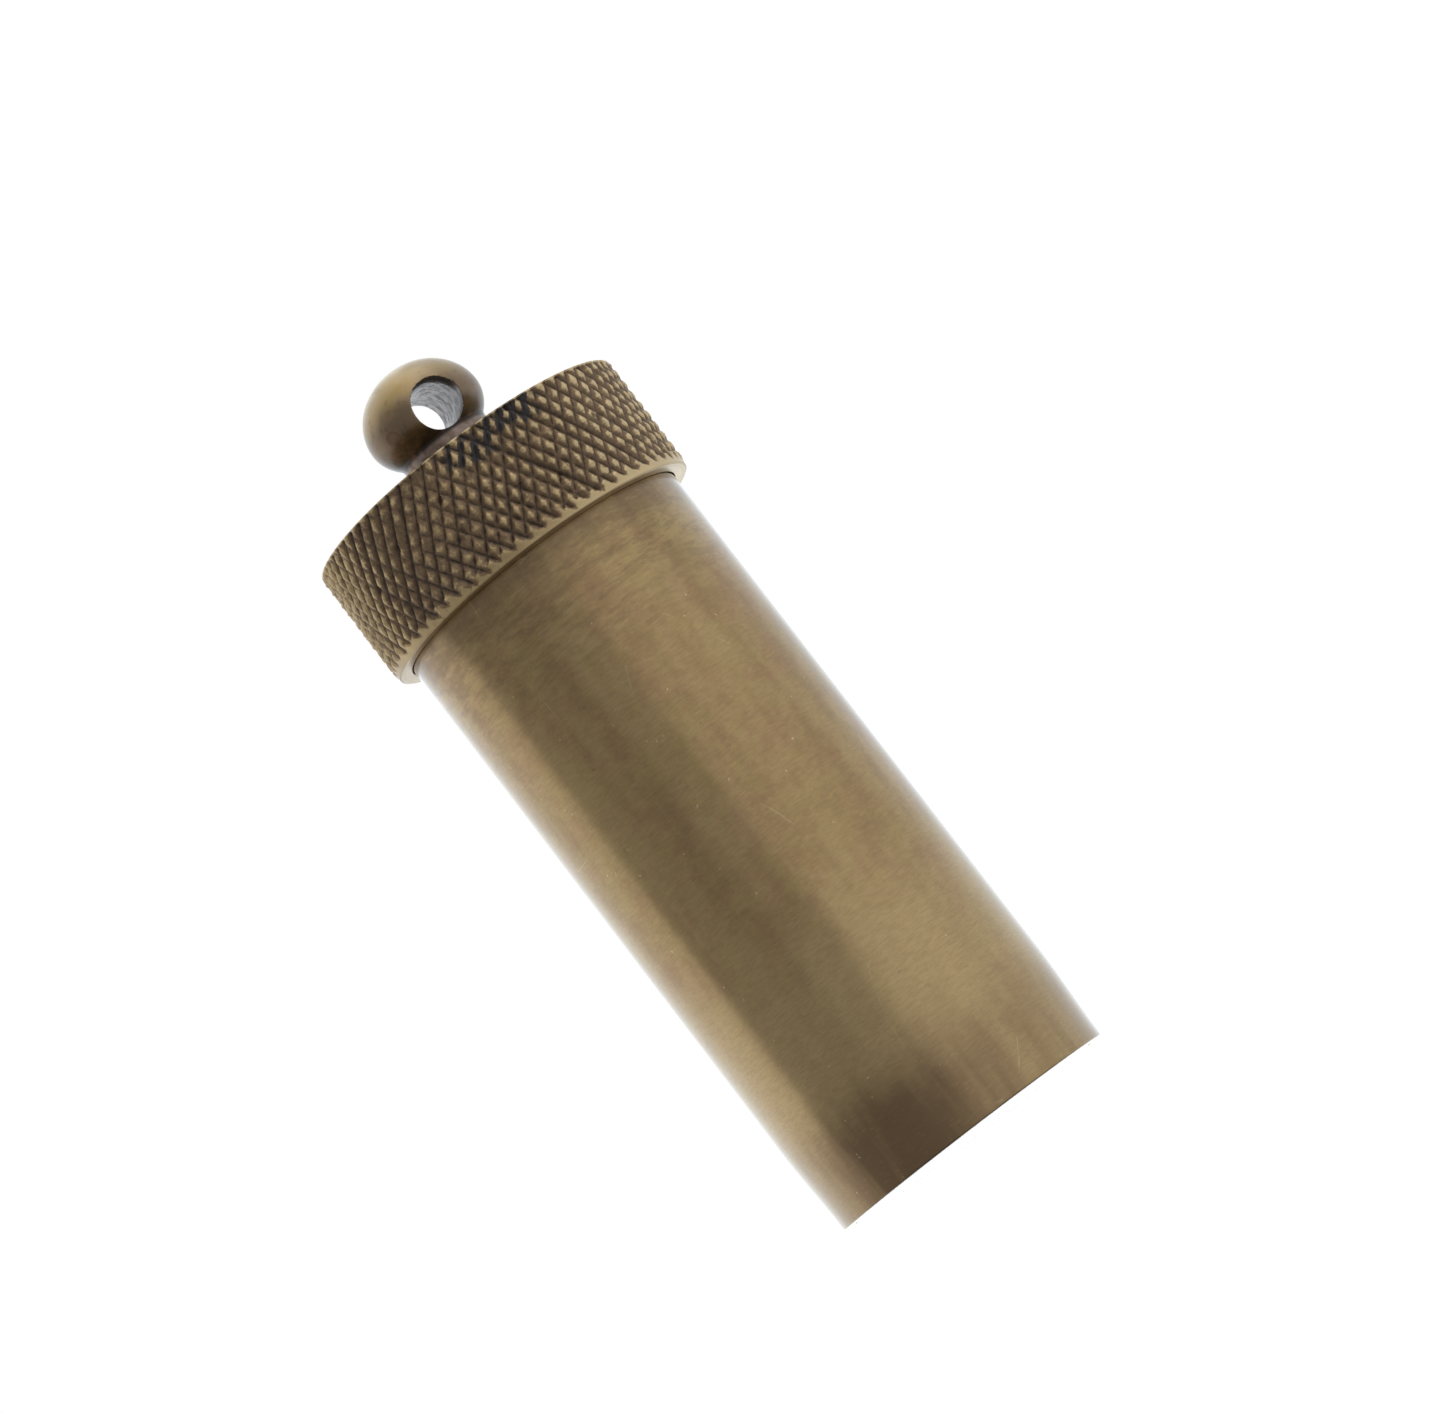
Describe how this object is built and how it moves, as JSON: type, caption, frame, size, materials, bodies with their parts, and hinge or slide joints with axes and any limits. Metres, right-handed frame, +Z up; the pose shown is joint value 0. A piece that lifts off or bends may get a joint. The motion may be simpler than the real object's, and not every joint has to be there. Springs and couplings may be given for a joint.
{
  "type": "needle case",
  "caption": "Brass needle case: a plain tube with a flat base, closed by a knurled screw cap that ends in a drilled lanyard ball.",
  "frame": {"origin": "middle of the flat base, at the level it stands on", "axes": "+Z up the case's own axis from the base to the lanyard ball, +Y square to it towards the higher end of the ball's cross hole, which was drilled leaning 5 degrees, X completing a right-handed frame"},
  "size_m": [0.025, 0.025, 0.066],
  "materials": {
    "case_brass": "satin, turned, with brown patina",
    "base_brass": "satin, faced off, with brown patina",
    "cork": "cut cork",
    "neck_brass": "machined, lightly tarnished",
    "cap_brass": "knurled, dark in the grooves and worn light on the crests",
    "seal_rubber": "matte",
    "ball_brass": "satin, handled, with brown patina",
    "washer_brass": "rolled",
    "nut_brass": "machined"
  },
  "bodies": {
    "case": {"case_tube": "case_brass", "base_disc": "base_brass", "cork_pad": "cork", "neck_ring": "neck_brass"},
    "seal": {"seal_ring": "seal_rubber"},
    "cap": {"screw_cap": "cap_brass", "ball_finial": "ball_brass", "finial_washer": "washer_brass", "finial_nut": "nut_brass"}
  },
  "joints": [
    {"name": "cap_turn", "type": "hinge", "parent": "seal", "child": "cap", "pos_m": [0, 0, 0.0556], "axis": [0, 0, 1], "range_deg": [0, 2880]},
    {"name": "cap_lift", "type": "slide", "parent": "case", "child": "seal", "axis": [0, 0, 1], "range_m": [0, 0.01]}
  ],
  "couplings": [
    {"joint": "cap_lift", "follows": "cap_turn", "m_per_rad": 0.00019894}
  ]
}
